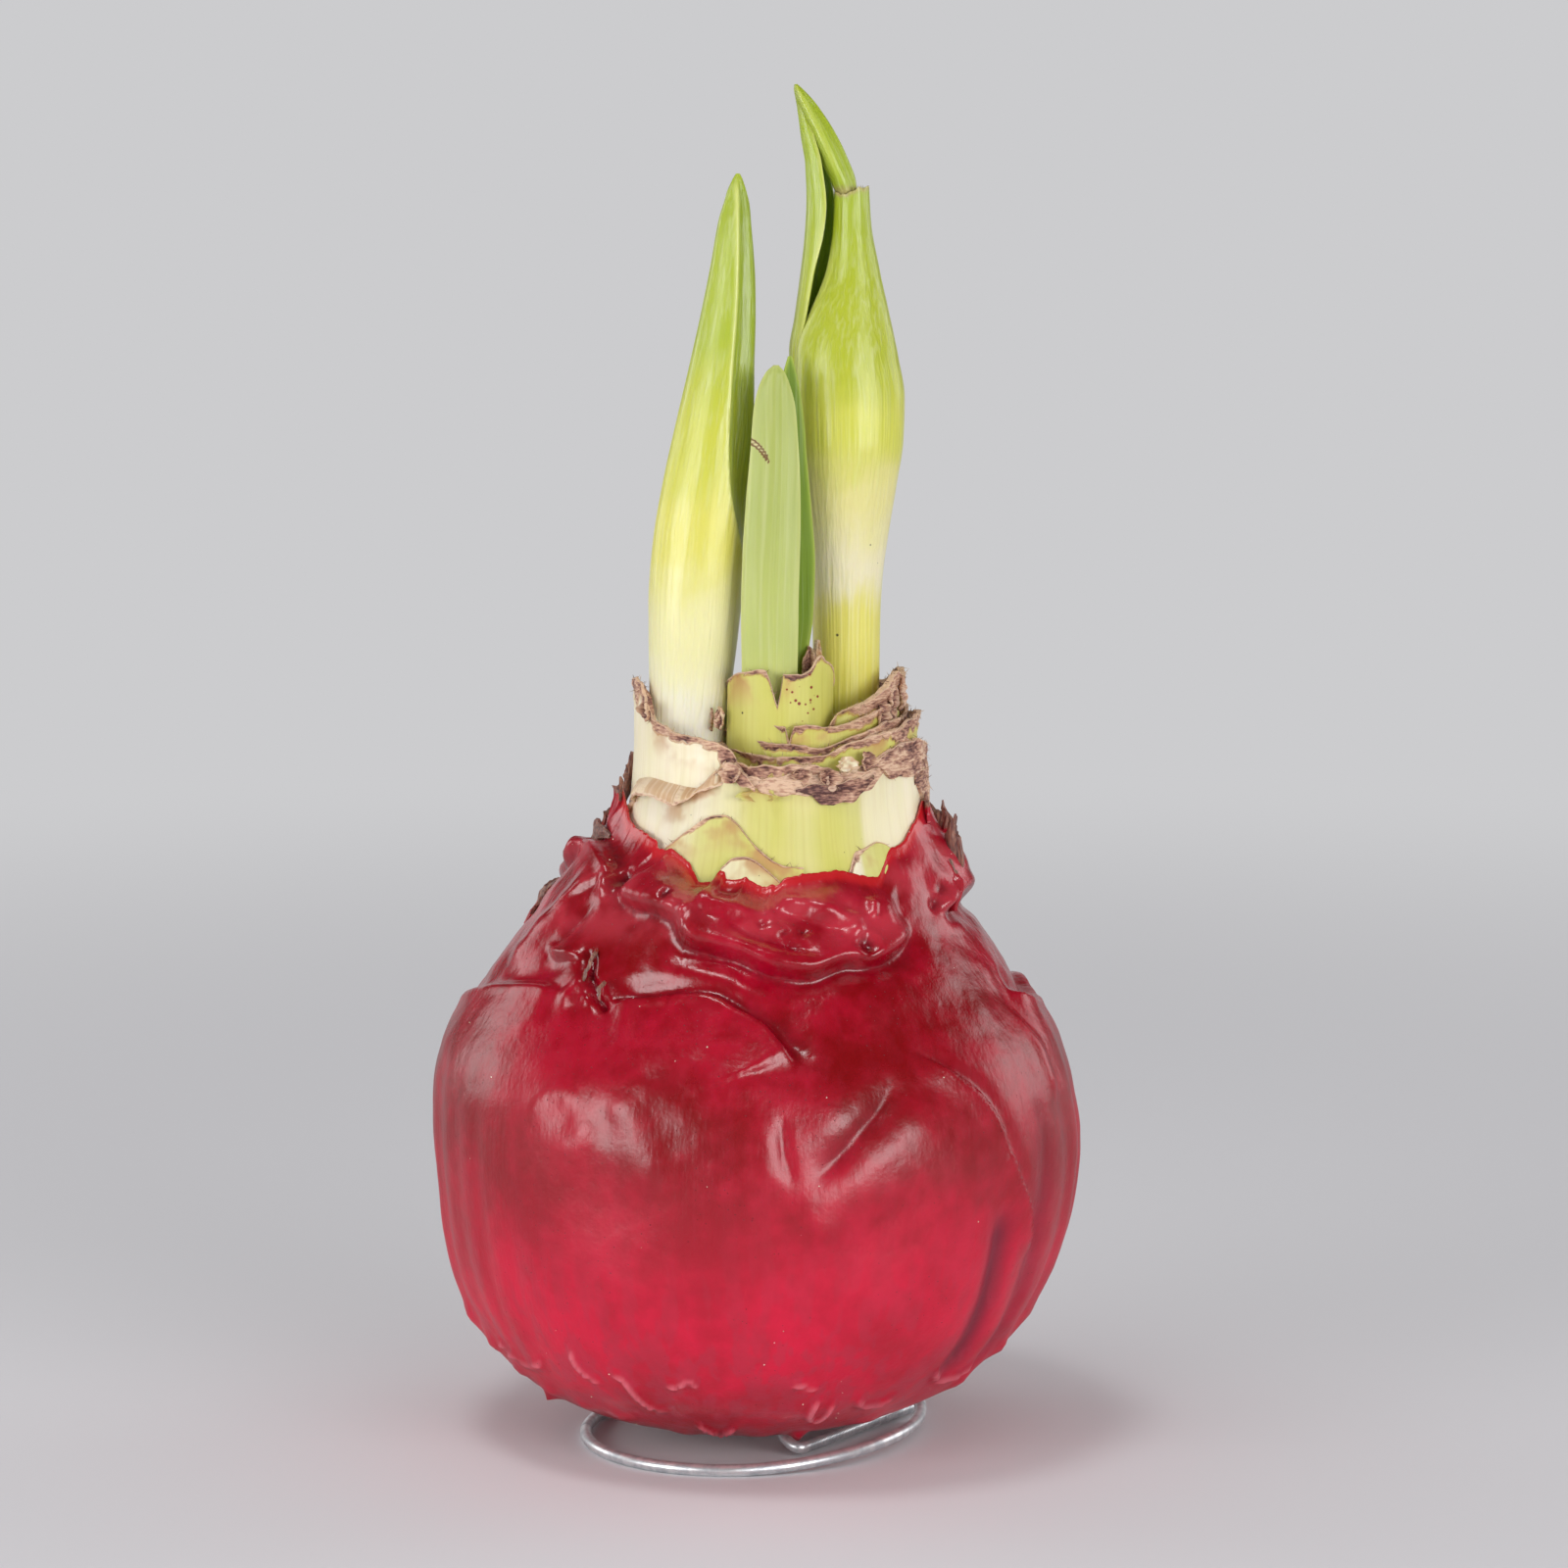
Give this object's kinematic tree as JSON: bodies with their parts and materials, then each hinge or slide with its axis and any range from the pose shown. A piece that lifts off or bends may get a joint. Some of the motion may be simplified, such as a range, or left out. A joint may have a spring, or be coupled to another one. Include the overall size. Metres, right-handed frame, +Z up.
{
  "type": "waxed amaryllis bulb",
  "caption": "Wax-dipped flower bulb with a cut scaly neck, growing shoots and leaves, standing on a bent wire ring.",
  "frame": {"origin": "on the surface that the wire ring rests on, under the middle of the bulb", "axes": "+Z up along the bulb and its shoots, -Y towards the front, +X to the right"},
  "size_m": [0.0918, 0.092, 0.1916],
  "materials": {
    "wax": "satin dipped wax",
    "bulb": "fleshy cut scales with dry brown edges",
    "shoot": "waxy plant skin",
    "leaf": "waxy plant skin",
    "wire": "drawn wire, dull bright"
  },
  "bodies": {
    "root": {"wire_stand": "wire", "wax_coat": "wax", "bulb": "bulb", "left_flower_shoot": "shoot", "right_flower_shoot": "shoot", "front_leaf": "leaf", "back_leaf": "leaf"}
  },
  "joints": []
}
